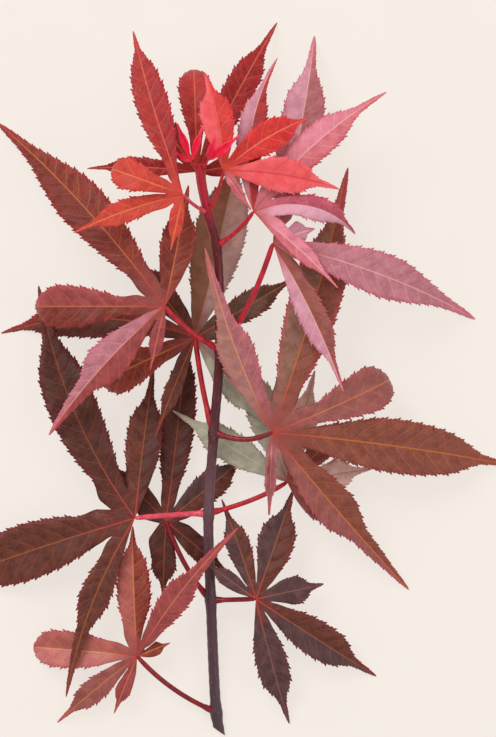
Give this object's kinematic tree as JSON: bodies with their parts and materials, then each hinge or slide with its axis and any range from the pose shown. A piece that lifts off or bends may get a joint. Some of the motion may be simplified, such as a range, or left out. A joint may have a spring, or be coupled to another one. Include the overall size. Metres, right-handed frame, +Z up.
{
  "type": "japanese maple branch",
  "caption": "Cut leading shoot of a red-leaved japanese maple, with palmate toothed leaves in opposite pairs on a slender stem, lying on the ground.",
  "frame": {"origin": "centre of the ground the shoot covers, at its lowest point", "axes": "+Z up, +Y along the stem from the cut end to the growing tip, +X to the right seen from above"},
  "size_m": [0.1626, 0.1996, 0.0416],
  "materials": {
    "stem": "satin",
    "old_leaf": "satin",
    "middle_leaf": "satin",
    "new_leaf": "satin"
  },
  "bodies": {
    "root": {"stem": "stem", "leaf_1_left": "middle_leaf", "leaf_2_left": "old_leaf", "leaf_2_right": "old_leaf", "leaf_3_left": "old_leaf", "leaf_3_right": "old_leaf", "leaf_4_left": "old_leaf", "leaf_4_right": "middle_leaf", "leaf_5_left": "middle_leaf", "leaf_5_right": "middle_leaf", "leaf_6_left": "new_leaf", "leaf_6_right": "new_leaf", "leaf_7_left": "new_leaf", "leaf_7_right": "new_leaf", "young_leaf_left": "new_leaf", "young_leaf_right": "new_leaf"}
  },
  "joints": []
}
